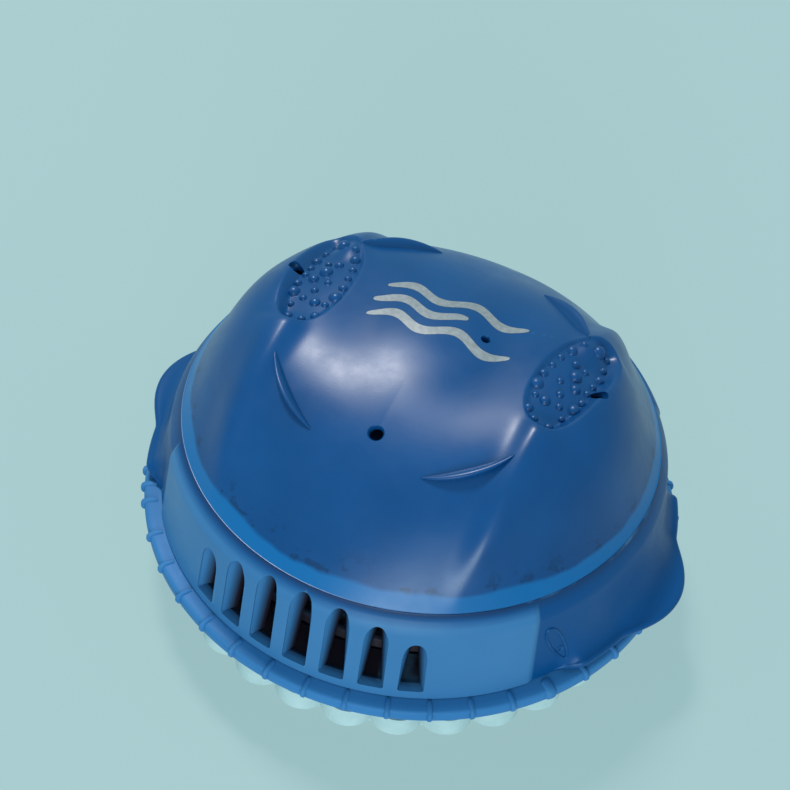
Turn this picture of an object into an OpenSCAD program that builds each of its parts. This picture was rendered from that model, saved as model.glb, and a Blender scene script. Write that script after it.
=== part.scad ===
// Floating spa dispenser: domed float holder, twist ring, chlorine cartridge with dose dial, mineral
// cartridge. Millimetres, +Z up, origin under the middle of the dial, resting on z = 0.

/* [Holder] */
// Outer radius of the ribbed ring
rim_r = 80; // [60:1:100]
// Height of the top of the ribbed ring
rim_z = 26; // [20:0.5:40]
// Height of the crown above the ring
dome_h = 67.5; // [50:0.5:80]
// Radius of the dome where it meets the skirt
dome_a = 72.6; // [68:0.2:75]
// Wall thickness of the mouldings
wall = 2.4; // [1.5:0.1:4]
// How far the two side bumps stand out
bump_h = 17; // [0:0.2:24]
// Half width of a side bump in degrees
bump_w = 37; // [15:1:45]
// Radius of the vent holes
vent_r = 1.9; // [1:0.1:3]

/* [Skirt] */
// Height of the seam between skirt and dome
seam_z = 57.3; // [56:0.1:57.8]
// Radius of the skirt at its foot
foot_r = 74.8; // [70:0.2:76]
// Water slots on each face
slot_count = 7; // [3:1:9]
// Angle between slots
slot_pitch = 8.571; // [7:0.001:12]
// Width of a slot
slot_w = 7.4; // [5:0.1:9]
// Bottom of the slots
slot_z0 = 29.6; // [28:0.2:34]
// Top of the middle slot
slot_z1 = 55.2; // [48:0.2:55.4]
// How much lower the slots beside the middle one end
slot_fall = 0.5; // [0:0.1:1]
// Reach of the side wings from the middle
wing_reach = 86; // [82:0.5:92]
// Radius of the wing outline
wing_round = 24; // [20:1:60]

/* [Twist ring] */
// Number of grip ribs
rib_count = 42; // [24:1:60]
// Width of a grip rib
rib_w = 1.7; // [1:0.1:3]
// How far the ribs stand proud
rib_h = 1; // [0.5:0.1:2]
// Bore of the twist ring
ring_bore = 58.5; // [55:0.5:62]

/* [Chlorine cartridge] */
// Outer radius of the chlorine cartridge
chl_r = 52; // [45:0.5:53]
// Underside of the chlorine cartridge
chl_z0 = 15; // [14.5:0.1:16]
// Top rim of the chlorine cartridge
chl_z1 = 54; // [48:1:56]
// Windows round the chlorine cartridge
chl_windows = 8; // [4:1:12]
// Radius of a chlorine tablet
tablet_r = 38; // [25:1:44]
// Thickness of a chlorine tablet
tablet_t = 9; // [6:0.5:9]

/* [Dose dial] */
// Height of the dial
dial_h = 14; // [8:0.5:14.5]
// Height of the underside of the petals
petal_z0 = 7; // [0:0.5:9]
// Number of grip petals
petal_count = 30; // [16:1:40]
// Radius of a grip petal
petal_r = 8; // [5:0.2:10]
// Outer radius over the petals
dial_r = 74.5; // [68:0.5:76]
// Radius of the dial hub
hub_r = 9.95; // [8:0.05:12]

/* [Mineral cartridge] */
// Outer radius of the mineral cartridge
min_r = 32; // [26:0.5:34]
// Underside of the mineral cartridge
min_z0 = 57.4; // [57:0.1:60]
// Top of the mineral cartridge
min_z1 = 79.5; // [74:0.5:80]
// Windows round the mineral cartridge
min_windows = 6; // [4:1:10]

/* [Hidden] */
$fn = 96;
eps = 0.01;
phi_n = 72;
u_n = 17;
dome_z0 = rim_z + 0.316 * rim_r;
crown_z = rim_z + dome_h;
seam_g = (seam_z - dome_z0) / (crown_z - dome_z0);
pow_z = 1.289;
pow_r = 1.986;
crown_c = 0.3;
rib_pitch = 360 / rib_count;
foot_z = rim_z + 0.3;
floor_t = 2.5;
floor_in = 61.5;
ledge_z = 52.3;
ledge_t = 2;
ledge_in = 64.5;
slot_fall_pow = 2.46;
slot_arch = 9;
skirt_in = foot_r - 2.6;
panel_proud = 0.5;
rib_in = foot_r + panel_proud + 0.5;
rib_drop = 3.4;
tube_r = 57;
tube_t = 2.5;
tray_r = 66.8;
tray_t = 2;
tray_z = ledge_z + ledge_t;
plate_t = 3;
cup_r = dial_r - petal_r - 2.5;
screw_r = 3;
screw_head_r = 5.8;
screw_head_top = 4;
drain_r = 7;
drain_at = 40;
chl_win_w = 14;
chl_win_z0 = 34;
chl_win_z1 = 48;
min_win_w = 12;
min_win_z0 = 66.4;
min_win_z1 = 74;
min_floor_z = 65.6;
tablet_gap = 0.1;
sleeve_r = chl_r - 3.3;
sleeve_t = 1.7;
sleeve_z0 = chl_z0 + plate_t + 0.3;
neck_r = 18;
blue = [0.05, 0.24, 0.46];
deep_blue = [0.04, 0.17, 0.34];
grey = [0.62, 0.72, 0.74];

// ---------- dome surface ----------

function ease(x) = let (t = min(max(x, 0), 1)) t * t * (3 - 2 * t);
function side_angle(p) = let (q = abs((p + 3600) % 180)) min(q, 180 - q);
crown_k = pow(crown_c, pow_r);
crown_d = pow(1 + crown_c * crown_c, pow_r / 2) - crown_k;
function base_rho(g) = let (q = (1 - pow(g, pow_z)) * crown_d + crown_k)
    sqrt(max(pow(q, 2 / pow_r) - crown_c * crown_c, 0));
function base_pt(g) = [dome_a * base_rho(g), dome_z0 + (crown_z - dome_z0) * g];
function base_normal(g) = let (a = base_pt(max(g - 0.004, 0)), b = base_pt(min(g + 0.004, 1)),
                               d = b - a) [d[1], -d[0]] / norm(d);
function bump(p, g) = let (b = base_pt(g), h = (b[1] - rim_z) / rim_r)
    bump_h * exp(-0.5 * pow(side_angle(p) / bump_w, 2))
    * ease((h - 0.399) / 0.418) * ease((b[0] / rim_r - 0.199) / 0.503);
function dome_pt(p, g) = let (b = base_pt(g), n = base_normal(g), q = b + bump(p, g) * n)
    [q[0] * cos(p), q[0] * sin(p), q[1]];
function dome_normal(p, g) = let (g0 = max(g - 0.004, 0), g1 = min(g + 0.004, 0.9999),
    c = cross(dome_pt(p + 1, g) - dome_pt(p - 1, g), dome_pt(p, g1) - dome_pt(p, g0))) c / norm(c);
function dome_in(p, g) = dome_pt(p, g) - wall * dome_normal(p, g);
function phi(i) = 360 * i / phi_n;
function row_g(j) = 1 - (1 - seam_g) * pow(1 - j / u_n, 2);

module ring_shell(outer, inner, top_out, top_in) {
    rows = len(outer);
    n = len(outer[0]);
    pts = concat([for (r = outer) for (q = r) q], [for (r = inner) for (q = r) q], [top_out, top_in]);
    off = rows * n;
    last = (rows - 1) * n;
    faces = concat(
        [for (j = [0:rows - 2]) for (i = [0:n - 1])
            [j * n + i, (j + 1) * n + i, (j + 1) * n + (i + 1) % n]],
        [for (j = [0:rows - 2]) for (i = [0:n - 1])
            [j * n + i, (j + 1) * n + (i + 1) % n, j * n + (i + 1) % n]],
        [for (j = [0:rows - 2]) for (i = [0:n - 1])
            [off + j * n + i, off + (j + 1) * n + (i + 1) % n, off + (j + 1) * n + i]],
        [for (j = [0:rows - 2]) for (i = [0:n - 1])
            [off + j * n + i, off + j * n + (i + 1) % n, off + (j + 1) * n + (i + 1) % n]],
        [for (i = [0:n - 1]) [last + i, 2 * off, last + (i + 1) % n]],
        [for (i = [0:n - 1]) [off + last + i, off + last + (i + 1) % n, 2 * off + 1]],
        [for (i = [0:n - 1]) [i, (i + 1) % n, off + (i + 1) % n]],
        [for (i = [0:n - 1]) [i, off + (i + 1) % n, off + i]]);
    polyhedron(points = pts, faces = faces, convexity = 6);
}

module dome_shell() {
    outer = [for (j = [0:u_n - 1]) [for (i = [0:phi_n - 1]) dome_pt(phi(i), row_g(j))]];
    foot = base_pt(seam_g)[0] - wall;
    inner = concat([[for (i = [0:phi_n - 1]) [foot * cos(phi(i)), foot * sin(phi(i)), seam_z]]],
                   [for (j = [1:u_n - 1]) [for (i = [0:phi_n - 1]) dome_in(phi(i), row_g(j))]]);
    color(blue) difference() {
        ring_shell(outer, inner, [0, 0, crown_z], [0, 0, crown_z - wall]);
        vent_hole(35.1, 59.8, 25);
        for (turn = [99, 261]) rotate([0, 0, turn]) vent_hole(47.2, 64.1, 34);
        translate([12.4, 6.7, crown_z - 14]) cylinder(r = 1.2, h = 20, $fn = 24);
    }
}

module vent_hole(out, up, tip) {
    translate([0, -out, rim_z + up]) rotate([tip, 0, 0]) translate([0, 0, -14])
        cylinder(r = vent_r, h = 28, $fn = 24);
}

// ---------- skirt ----------

module skirt_wall() {
    upper = [for (t = [0:0.25:1]) base_pt(seam_g * t)];
    lining = [for (t = [1:-0.25:0]) base_pt(seam_g * t) - [wall, 0]];
    rotate_extrude() polygon(concat([[skirt_in, foot_z], [foot_r, foot_z]], upper, lining,
        [[skirt_in, foot_z + floor_t]]));
}

module face_panel() {
    span = 104;
    proud = [panel_proud, 0];
    outside = [for (t = [0:0.25:0.75]) base_pt(seam_g * t) + proud];
    inside = [for (t = [0.75:-0.25:0]) base_pt(seam_g * t) - 2 * proud];
    rotate([0, 0, -90 - span / 2]) rotate_extrude(angle = span)
        polygon(concat([[foot_r - 1, foot_z], [foot_r + panel_proud, foot_z]], outside, inside));
}

module slot_cut(k) {
    half = slot_w / 2;
    top = slot_z1 - slot_fall * pow(abs(k), slot_fall_pow);
    arch = [for (a = [0:10:180]) [half * cos(a), top - slot_arch + slot_arch * sin(a)]];
    translate([0, -66, 0]) rotate([90, 0, 0]) linear_extrude(13)
        polygon(concat([[-half, slot_z0], [half, slot_z0]], arch));
}

module fin() {
    thin = 1.1;
    thick = 3.2;
    back = 64.5;
    bend = 70;
    translate([0, 0, foot_z + floor_t]) linear_extrude(ledge_z - foot_z - floor_t)
        polygon([[-thin, -skirt_in], [thin, -skirt_in], [thin, -bend], [thick, -back], [-thick, -back],
            [-thin, -bend]]);
}

module wing() {
    half = 32;
    intersection() {
        rotate([0, 0, -half]) rotate_extrude(angle = 2 * half)
            polygon([[73.4, 29], [74, 27.6], [76, 27.6], [87.4, 28.4], [89, 28.9], [89, 31.4], [84.6, 31.1],
                [82.4, 31.6], [80, 32.9], [77.2, 35.7], [75.3, 39.6], [74, 44], [73, 48.4], [71.8, 46.4]]);
        translate([0, 0, 26.5]) linear_extrude(28) union() {
            circle(r = rim_r - 0.2);
            translate([wing_reach - wing_round, 0]) circle(r = wing_round);
        }
    }
}

module slotted_skirt() {
    half = (slot_count - 1) / 2;
    color(blue) difference() {
        union() {
            skirt_wall();
            for (s = [0, 180]) rotate([0, 0, s]) {
                face_panel();
                wing();
            }
        }
        for (s = [0, 180]) for (k = [-half:1:half]) rotate([0, 0, s + k * slot_pitch]) slot_cut(k);
    }
}

module skirt_floor() {
    color(blue) rotate_extrude() translate([floor_in, foot_z]) square([skirt_in - floor_in, floor_t]);
}

module seam_ledge() {
    color(blue) difference() {
        rotate_extrude() translate([ledge_in, ledge_z]) square([70.6 - ledge_in, ledge_t]);
        skirt_wall();
    }
}

module slot_fins() {
    color(blue) difference() {
        for (s = [0, 180]) for (k = [-slot_count / 2:1:slot_count / 2])
            rotate([0, 0, s + k * slot_pitch]) fin();
        skirt_wall();
    }
}

// ---------- parts inside the holder ----------

module guide_tube() {
    low = 33;
    top = 58;
    color(deep_blue) difference() {
        rotate_extrude() translate([tube_r - tube_t, low]) square([tube_t, top - low]);
        for (k = [0:7]) rotate([0, 0, 45 * k + 22.5]) translate([tube_r - 7, -9, 36]) cube([10, 18, 11]);
    }
}

module float_tray() {
    color(deep_blue) rotate_extrude() translate([tube_r, tray_z]) square([tray_r - tube_r, tray_t]);
}

module float_ring() {
    color([0.9, 0.9, 0.88]) rotate_extrude()
        polygon([[tube_r + 0.5, tray_z + tray_t], [tray_r - 0.6, tray_z + tray_t], [65.2, 57.6],
            [59.6, 63.3], [52, 69.3], [44, 74.8], [37.5, 76.8], [37.5, 60.5], [tube_r + 0.5, 60.5]]);
}

// ---------- twist ring ----------

module rib(w) {
    translate([rib_in, -w / 2, rim_z - rib_drop]) cube([rim_r + rib_h - rib_in, w, rib_drop + rib_h]);
}

module lock_ring() {
    color(blue) union() {
        rotate_extrude() polygon([[ring_bore, 18.6], [62, 18.6], [62, 22], [79, 22], [rim_r, 23],
            [rim_r, rim_z - 0.7], [rim_r - 0.7, rim_z], [61, rim_z], [61, 32], [ring_bore, 32]]);
        for (k = [0:3]) rotate([0, 0, 90 * k + 38]) rotate_extrude(angle = 14)
            polygon([[60.5, 29.2], [64, 29.2], [64, 31.6], [60.5, 31.6]]);
        for (s = [0, 180]) rotate([0, 0, s]) {
            for (k = [-6:6]) rotate([0, 0, -90 + (k + 0.5) * rib_pitch]) rib(k == 6 ? 2 * rib_w : rib_w);
            for (k = [-1:1]) rotate([0, 0, -151 + 4.6 * k]) rib(rib_w * 1.3);
            for (k = [1:4]) rotate([0, 0, -34 + k * rib_pitch]) rib(rib_w);
        }
    }
}

// ---------- chlorine cartridge ----------

module windows(r0, r1, w, z0, z1, n) {
    for (k = [0:n - 1]) rotate([0, 0, 360 * k / n]) translate([r0, -w / 2, z0]) cube([r1 - r0, w, z1 - z0]);
}

module chlorine_body() {
    color(grey) difference() {
        rotate_extrude() polygon([[hub_r + 0.05, chl_z0], [63, chl_z0], [63, chl_z0 + plate_t],
            [chl_r, chl_z0 + plate_t], [chl_r, chl_z1], [chl_r - 3, chl_z1],
            [chl_r - 3, chl_z0 + plate_t], [hub_r + 0.05, chl_z0 + plate_t]]);
        windows(chl_r - 5, chl_r + 5, chl_win_w, chl_win_z0, chl_win_z1, chl_windows);
    }
}

module chlorine_cap() {
    color(grey) rotate_extrude() polygon([[0, chl_z1 - 2], [chl_r - 3.1, chl_z1 - 2],
        [chl_r - 3.1, chl_z1], [chl_r, chl_z1], [chl_r, chl_z1 + 2.6], [neck_r, chl_z1 + 2.6],
        [neck_r, 60], [neck_r - 2, 60], [neck_r - 2, 61.6], [neck_r, 61.6], [neck_r, 63],
        [neck_r - 4, 63], [neck_r - 4, chl_z1 + 2], [0, chl_z1 + 2]]);
}

module o_ring(r, t, z) {
    translate([0, 0, z]) rotate_extrude() translate([r, 0]) circle(r = t, $fn = 24);
}

module coupling_seal() {
    color([0.08, 0.08, 0.08]) o_ring(neck_r - 0.75, 0.75, 60.8);
}

// ---------- dose dial ----------

module petal_outline() {
    circle(r = dial_r - petal_r);
    for (k = [0:petal_count - 1]) rotate(360 * (k + 0.5) / petal_count)
        translate([dial_r - petal_r, 0]) circle(r = petal_r, $fn = 32);
}

module dose_dial() {
    color(grey) difference() {
        union() {
            cylinder(r = cup_r, h = plate_t);
            cylinder(r = 16, h = dial_h);
            cylinder(r = hub_r, h = sleeve_z0);
            for (k = [0:5]) rotate([0, 0, 60 * k]) translate([14, -1.25, 1]) cube([cup_r - 14.2, 2.5, 9]);
        }
        translate([0, 0, -eps]) cylinder(r = screw_r + 0.05, h = 40);
        translate([0, 0, -eps]) cylinder(r = screw_head_r + 0.4, h = screw_head_top + 0.1);
        translate([0, 0, 15.5]) difference() {
            cylinder(r = hub_r + 1, h = 2);
            translate([0, 0, -1]) cylinder(r = 8, h = 4);
        }
        for (k = [0:5]) rotate([0, 0, 60 * k + 30]) translate([drain_at, 0, -eps])
            cylinder(r = drain_r, h = 5);
    }
}

module dial_rim() {
    color(grey) difference() {
        union() {
            cylinder(r = cup_r + 2.2, h = dial_h);
            translate([0, 0, petal_z0]) linear_extrude(dial_h - petal_z0) petal_outline();
        }
        translate([0, 0, -1]) cylinder(r = cup_r, h = dial_h + 2);
    }
}

module dosing_sleeve() {
    color([0.80, 0.84, 0.86]) difference() {
        union() {
            rotate_extrude() polygon([[5, sleeve_z0], [sleeve_r, sleeve_z0], [sleeve_r, 51.4],
                [sleeve_r - sleeve_t, 51.4], [sleeve_r - sleeve_t, sleeve_z0 + 1.7], [5, sleeve_z0 + 1.7]]);
            translate([0, 0, sleeve_z0]) cylinder(r = 8, h = 2.4);
        }
        translate([0, 0, sleeve_z0 - 1]) cylinder(r = 2.4, h = 9);
        windows(sleeve_r - 4, sleeve_r + 4, chl_win_w, chl_win_z0, chl_win_z1, chl_windows);
    }
}

module tablet_grid() {
    z = sleeve_z0 + 2.4;
    color([0.75, 0.80, 0.82]) union() {
        for (r = [16, 30, 43]) translate([0, 0, z]) difference() {
            cylinder(r = r + 1, h = 2);
            translate([0, 0, -1]) cylinder(r = r - 1, h = 4);
        }
        for (a = [0, 60, 120]) rotate([0, 0, a]) for (s = [0, 180]) rotate([0, 0, s])
            translate([15.5, -1, z]) cube([28, 2, 2]);
        for (a = [0:60:300]) rotate([0, 0, a]) translate([43, 0, sleeve_z0 + 1.7]) cylinder(r = 2, h = 2.7);
    }
}

module dial_screw() {
    color([0.7, 0.72, 0.74]) difference() {
        union() {
            translate([0, 0, 1]) cylinder(r = screw_head_r, h = screw_head_top - 1);
            translate([0, 0, screw_head_top - 1])
                cylinder(r = screw_r, h = sleeve_z0 - screw_head_top + 0.95);
            translate([0, 0, sleeve_z0 - 1]) cylinder(r = 2.3, h = 3.3);
        }
        translate([-0.6, -5, 0.9]) cube([1.2, 10, 1.1]);
    }
}

module dial_seal() {
    color([0.08, 0.08, 0.08]) o_ring(9, 0.95, 16.5);
}

module click_spring() {
    color([0.72, 0.74, 0.76]) translate([0, 30, 0]) union() {
        translate([-9, -3, plate_t]) cube([18, 6, 0.6]);
        translate([-9, -3, plate_t]) cube([0.6, 6, 9]);
        translate([-9, -3, 11.4]) cube([18, 6, 0.6]);
        translate([4, 0, 12]) cylinder(r = 1.5, h = 1.6);
    }
}

module tablet(z) {
    c = 1.5;
    color([0.95, 0.95, 0.92]) rotate_extrude() polygon([[0, z], [tablet_r - c, z], [tablet_r, z + c],
        [tablet_r, z + tablet_t - c], [tablet_r - c, z + tablet_t], [0, z + tablet_t]]);
}

module tablet_lower() {
    tablet(sleeve_z0 + 4.5);
}

module tablet_middle() {
    tablet(sleeve_z0 + 4.5 + tablet_gap + tablet_t);
}

module tablet_upper() {
    tablet(sleeve_z0 + 4.5 + 2 * (tablet_gap + tablet_t));
}

// ---------- mineral cartridge ----------

module mineral_body() {
    color(blue) difference() {
        rotate_extrude() polygon([[neck_r + 0.3, min_z0], [28, min_z0], [min_r + 1.8, 61],
            [min_r + 1.8, 62.1], [min_r, 62.1], [min_r, min_z1 - 3], [min_r - 2, min_z1 - 3],
            [min_r - 2, min_floor_z],
            [0, min_floor_z], [0, 63.4], [neck_r + 0.3, 63.4]]);
        windows(min_r - 4, min_r + 4, min_win_w, min_win_z0, min_win_z1, min_windows);
    }
}

module mineral_cap() {
    color(blue) rotate_extrude() polygon([[0, min_z1 - 5], [min_r - 2.1, min_z1 - 5],
        [min_r - 2.1, min_z1 - 3], [min_r + 1.8, min_z1 - 3], [min_r + 1.8, min_z1 - 1], [min_r, min_z1],
        [0, min_z1]]);
}

module mineral_mesh() {
    color([0.85, 0.87, 0.88]) difference() {
        translate([0, 0, min_floor_z]) cylinder(r = min_r - 2.1, h = 8.8);
        translate([0, 0, 65]) cylinder(r = min_r - 2.7, h = 14);
    }
}

module mineral_media() {
    color([0.78, 0.80, 0.74]) translate([0, 0, min_floor_z]) cylinder(r = min_r - 3.2, h = 8);
}

module mineral_sleeve() {
    color(deep_blue) difference() {
        translate([0, 0, 62.4]) difference() {
            cylinder(r = min_r + 2.2, h = 13.6);
            translate([0, 0, -1]) cylinder(r = min_r + 0.35, h = 16);
        }
        windows(min_r - 4, min_r + 4, min_win_w, min_win_z0, min_win_z1, min_windows);
    }
}

dome_shell();
slotted_skirt();
skirt_floor();
seam_ledge();
slot_fins();
guide_tube();
float_tray();
float_ring();
lock_ring();
chlorine_body();
chlorine_cap();
coupling_seal();
dose_dial();
dial_rim();
dosing_sleeve();
tablet_grid();
dial_screw();
dial_seal();
click_spring();
tablet_lower();
tablet_middle();
tablet_upper();
mineral_body();
mineral_cap();
mineral_mesh();
mineral_media();
mineral_sleeve();
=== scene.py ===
"""Floating spa dispenser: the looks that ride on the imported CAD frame.

Shapes are worked out in millimetres and turned into metres when a mesh is made.
"""
import math

import bmesh
import bpy
import numpy as np
from mathutils import Matrix, Vector


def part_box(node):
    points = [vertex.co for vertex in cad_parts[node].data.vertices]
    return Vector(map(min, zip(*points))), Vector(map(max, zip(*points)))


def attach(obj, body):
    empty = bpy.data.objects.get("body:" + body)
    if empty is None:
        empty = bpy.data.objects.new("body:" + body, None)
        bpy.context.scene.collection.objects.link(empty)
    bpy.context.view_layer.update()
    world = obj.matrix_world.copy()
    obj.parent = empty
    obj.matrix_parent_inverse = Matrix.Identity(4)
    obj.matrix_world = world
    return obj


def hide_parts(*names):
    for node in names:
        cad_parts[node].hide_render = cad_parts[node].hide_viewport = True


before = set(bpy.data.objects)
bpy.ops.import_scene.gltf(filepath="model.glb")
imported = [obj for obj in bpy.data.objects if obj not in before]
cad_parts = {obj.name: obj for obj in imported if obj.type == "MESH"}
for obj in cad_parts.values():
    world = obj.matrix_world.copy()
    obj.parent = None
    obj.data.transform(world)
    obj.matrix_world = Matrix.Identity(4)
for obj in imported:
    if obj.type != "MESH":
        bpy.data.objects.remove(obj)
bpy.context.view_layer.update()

MM = 0.001

# ---------------------------------------------------------------- sizes from the frame


def span(node):
    """Lowest and highest corner of a CAD node in millimetres."""
    low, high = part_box(node)
    return np.array(low) / MM, np.array(high) / MM


RING_LOW, RING_HIGH = span("lock_ring")
SKIRT_LOW, SKIRT_HIGH = span("slotted_skirt")
DOME_LOW, DOME_HIGH = span("dome_shell")

# The dome's curves are written in shares of this length.
FIT = 80

RIB_H = 1.0
RIM_R = RING_HIGH[1] - RIB_H
RIM_Z = 26.0
CROWN_Z = DOME_HIGH[2] - 0.15
SEAM_Z = DOME_LOW[2]
FOOT_Z = SKIRT_LOW[2]
WING_REACH = SKIRT_HIGH[0]
WALL = 2.4
DOME_A = 72.6
DOME_Z0 = RIM_Z + 0.316 * FIT
SEAM_G = (SEAM_Z - DOME_Z0) / (CROWN_Z - DOME_Z0)
FOOT_R = 74.8
FOOT_WALL = 2.6
FLOOR_Z = FOOT_Z + 2.5
RING_BORE = 58.5

POW_Z = 1.289
POW_R = 1.986
CROWN_C = 0.3
BUMP_H = 17.0
BUMP_W = math.radians(37)
BUMP_Z_FROM, BUMP_Z_OVER = 0.399, 0.418
BUMP_R_FROM, BUMP_R_OVER = 0.199, 0.503

SLOTS = 7
PITCH = math.radians(360 / 42)
FACES = (0, math.pi)

HOLE_R = 1.9
CROWN_HOLE_R = 1.2
FRONT_HOLE = (0, -35.1)
CROWN_HOLE = (12.4, 6.7)
PAD_HOLE_X, PAD_HOLE_Y = 47.9, 7.2

BRIM_R = 79.6
PANEL_HALF = math.radians(52.8)
WING_HALF, WING_BLEND = math.radians(31.5), math.radians(5.5)
LOBE_HALF = math.radians(15.5)
LIP_R = 1.3
TOE_R = 0.5
SLOT_FOOT = 29.4
SLOT_TOP = 55.9
ARCH = 7.5
HALF_AT_FOOT, HALF_AT_ARCH = 3.65, 3.45
TIDE_Z = 61.5

# ---------------------------------------------------------------- small maths


def ease(x):
    t = np.clip(x, 0, 1)
    return t * t * (3 - 2 * t)


def unit(v):
    return v / np.maximum(np.linalg.norm(v, axis=-1, keepdims=True), 1e-12)


def side_angle(phi):
    """Angle from the nearer of +X and -X."""
    return np.abs(np.angle(np.exp(2j * phi))) / 2


# ---------------------------------------------------------------- mesh helpers


def make_mesh(name, points, faces, smooth_angle=35):
    mesh = bpy.data.meshes.new(name)
    mesh.from_pydata([tuple(p) for p in np.asarray(points) * MM], [], faces)
    mesh.validate()
    mesh.update()
    obj = bpy.data.objects.new(name, mesh)
    bpy.context.scene.collection.objects.link(obj)
    face_out(obj)
    shade(obj, smooth_angle)
    return obj


def face_out(obj):
    work = bmesh.new()
    work.from_mesh(obj.data)
    bmesh.ops.recalc_face_normals(work, faces=work.faces)
    work.to_mesh(obj.data)
    work.free()


def shade(obj, angle):
    mesh = obj.data
    for poly in mesh.polygons:
        poly.use_smooth = True
    mesh.set_sharp_from_angle(angle=math.radians(angle))


def quad_strip(rows, cols, wrap=True):
    """Faces between rows of points, each row closed into a ring if wrap is set."""
    faces = []
    last = cols if wrap else cols - 1
    for j in range(rows - 1):
        for i in range(last):
            a = j * cols + i
            b = j * cols + (i + 1) % cols
            faces.append((a, b, b + cols, a + cols))
    return faces


def closed_grid(rows, cols):
    """Faces of a grid of points that closes on itself both ways."""
    faces = []
    for i in range(rows):
        k = (i + 1) % rows
        for j in range(cols):
            m = (j + 1) % cols
            faces.append((i * cols + j, k * cols + j, k * cols + m, i * cols + m))
    return faces


def end_caps(count, ring):
    """The first and the last ring of a strip of count points, as two faces."""
    return [tuple(range(ring)), tuple(count - 1 - i for i in range(ring))]


def apply_cut(obj, cutter):
    """Subtracts the cutter from obj for good."""
    mod = obj.modifiers.new("cut", "BOOLEAN")
    mod.operation = "DIFFERENCE"
    mod.solver = "EXACT"
    mod.object = cutter
    graph = bpy.context.evaluated_depsgraph_get()
    cut = bpy.data.meshes.new_from_object(obj.evaluated_get(graph))
    obj.modifiers.clear()
    obj.data = cut
    bpy.data.objects.remove(cutter)


def joined(name, parts, smooth_angle=35):
    """One mesh object out of (points, faces) pairs."""
    points, faces, count = [], [], 0
    for pts, fcs in parts:
        points.append(np.asarray(pts, float))
        faces += [tuple(count + k for k in f) for f in fcs]
        count += len(pts)
    return make_mesh(name, np.concatenate(points), faces, smooth_angle)


# ---------------------------------------------------------------- dome surface


def base_line(g):
    """Radius and height of the plain dome, g from 0 at its foot to 1 at the crown."""
    k = CROWN_C**POW_R
    d = (1 + CROWN_C**2) ** (POW_R / 2) - k
    rho2 = ((1 - np.clip(g, 0, 1) ** POW_Z) * d + k) ** (2 / POW_R) - CROWN_C**2
    return DOME_A * np.sqrt(np.maximum(rho2, 0)), DOME_Z0 + (CROWN_Z - DOME_Z0) * g


def bumped(phi, g):
    """The dome with its two broad side bumps."""
    r, z = base_line(g)
    step = 0.003
    ra, za = base_line(np.maximum(g - step, 0))
    rb, zb = base_line(np.minimum(g + step, 1))
    length = np.hypot(rb - ra, zb - za)
    nr, nz = (zb - za) / length, (ra - rb) / length
    h = BUMP_H * np.exp(-0.5 * (side_angle(phi) / BUMP_W) ** 2)
    h = h * ease(((z - RIM_Z) / FIT - BUMP_Z_FROM) / BUMP_Z_OVER)
    h = h * ease((r / FIT - BUMP_R_FROM) / BUMP_R_OVER)
    r, z = r + h * nr, z + h * nz
    return np.stack([r * np.cos(phi), r * np.sin(phi), z], -1)


PAD_Y, PAD_HALF = 6.5, 21.5
PAD_X, PAD_TILT = 40.2, 1.2
PAD_IN, PAD_OUT, PAD_SPLAY = 11.2, 8.6, 0.8
PAD_SINK, PAD_SLOPE = 0.9, 1.9
RIDGE_X, RIDGE_H = 38.5, 2.5
RIDGE_IN, RIDGE_OUT = 4.0, 7.5
BESIDE_H = 0.5


def pad_edges(y):
    """Inner and outer edge of a pad as distances from the middle plane, at each y."""
    t = np.clip((y - PAD_Y) / PAD_HALF, -1, 1)
    spine = PAD_X + PAD_TILT * t
    swell = np.sqrt(np.maximum(1 - np.abs(t) ** 2.3, 0))
    return spine - PAD_IN * swell, spine + (PAD_OUT + PAD_SPLAY * t) * swell


def pad_depth(p):
    """How far the pad is sunk, deepest along its crisp outer ledge."""
    x, y = np.abs(p[..., 0]), p[..., 1]
    inner, outer = pad_edges(y)
    across = np.clip((x - inner) / np.maximum(outer - inner, 1e-6), 0, 1)
    ledge = ease((outer - x) / 3.0)
    ends = ease((PAD_HALF - np.abs(y - PAD_Y)) / 2.6)
    sunk = PAD_SINK * ease((x - inner) / 1.8) + PAD_SLOPE * ease(across * 1.25)
    return sunk * ledge * ends * (p[..., 2] > RIM_Z + 40)


def ridge_height(p):
    """Rounded ridge from each end of a pad down towards the water, and a rise beside the pad."""
    x, y = np.abs(p[..., 0]), p[..., 1]
    off = x - RIDGE_X
    inner, outer = pad_edges(y)
    beside = np.exp(-((np.maximum(x - outer - 0.8, 0) / 3.4) ** 2))
    beside = beside * ease((x - outer + 1.6) / 1.8)
    beside = beside * ease((PAD_HALF - np.abs(y - PAD_Y)) / 4)
    width = np.where(off < 0, RIDGE_IN, RIDGE_OUT)
    line = np.exp(-((off / width) ** 2))
    along = ease((np.abs(y - 3) - 12) / 8) * ease((p[..., 2] - RIM_Z - 30) / 20)
    return BESIDE_H * beside + RIDGE_H * line * along


def grid_normals(points):
    """Outward normals of a grid of points, rows towards the crown and columns round it."""
    du = np.roll(points, -1, axis=1) - np.roll(points, 1, axis=1)
    dv = np.gradient(points, axis=0)
    return unit(np.cross(du, dv))


def detailed(points, normals):
    """Points of the plain dome moved out by the ridges and in by the pads."""
    h = ridge_height(points) - pad_depth(points)
    return points + normals * h[..., None]


def even_columns(count):
    """Angles round the dome, closer together near +X and -X."""
    crowd = 0.4
    t = np.arange(count) * 2 * math.pi / count
    return t - crowd * np.sin(2 * t) / 2


def even_rows(count):
    """Evenly spaced rows from the seam towards the crown."""
    g = 1 - (1 - SEAM_G) * (1 - np.linspace(0, 1, 4000)) ** 2
    r, z = base_line(g)
    length = np.concatenate([[0], np.cumsum(np.hypot(np.diff(r), np.diff(z)))])
    return np.interp(np.linspace(0, length[-1], count + 1)[:-1], length, g)


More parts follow.
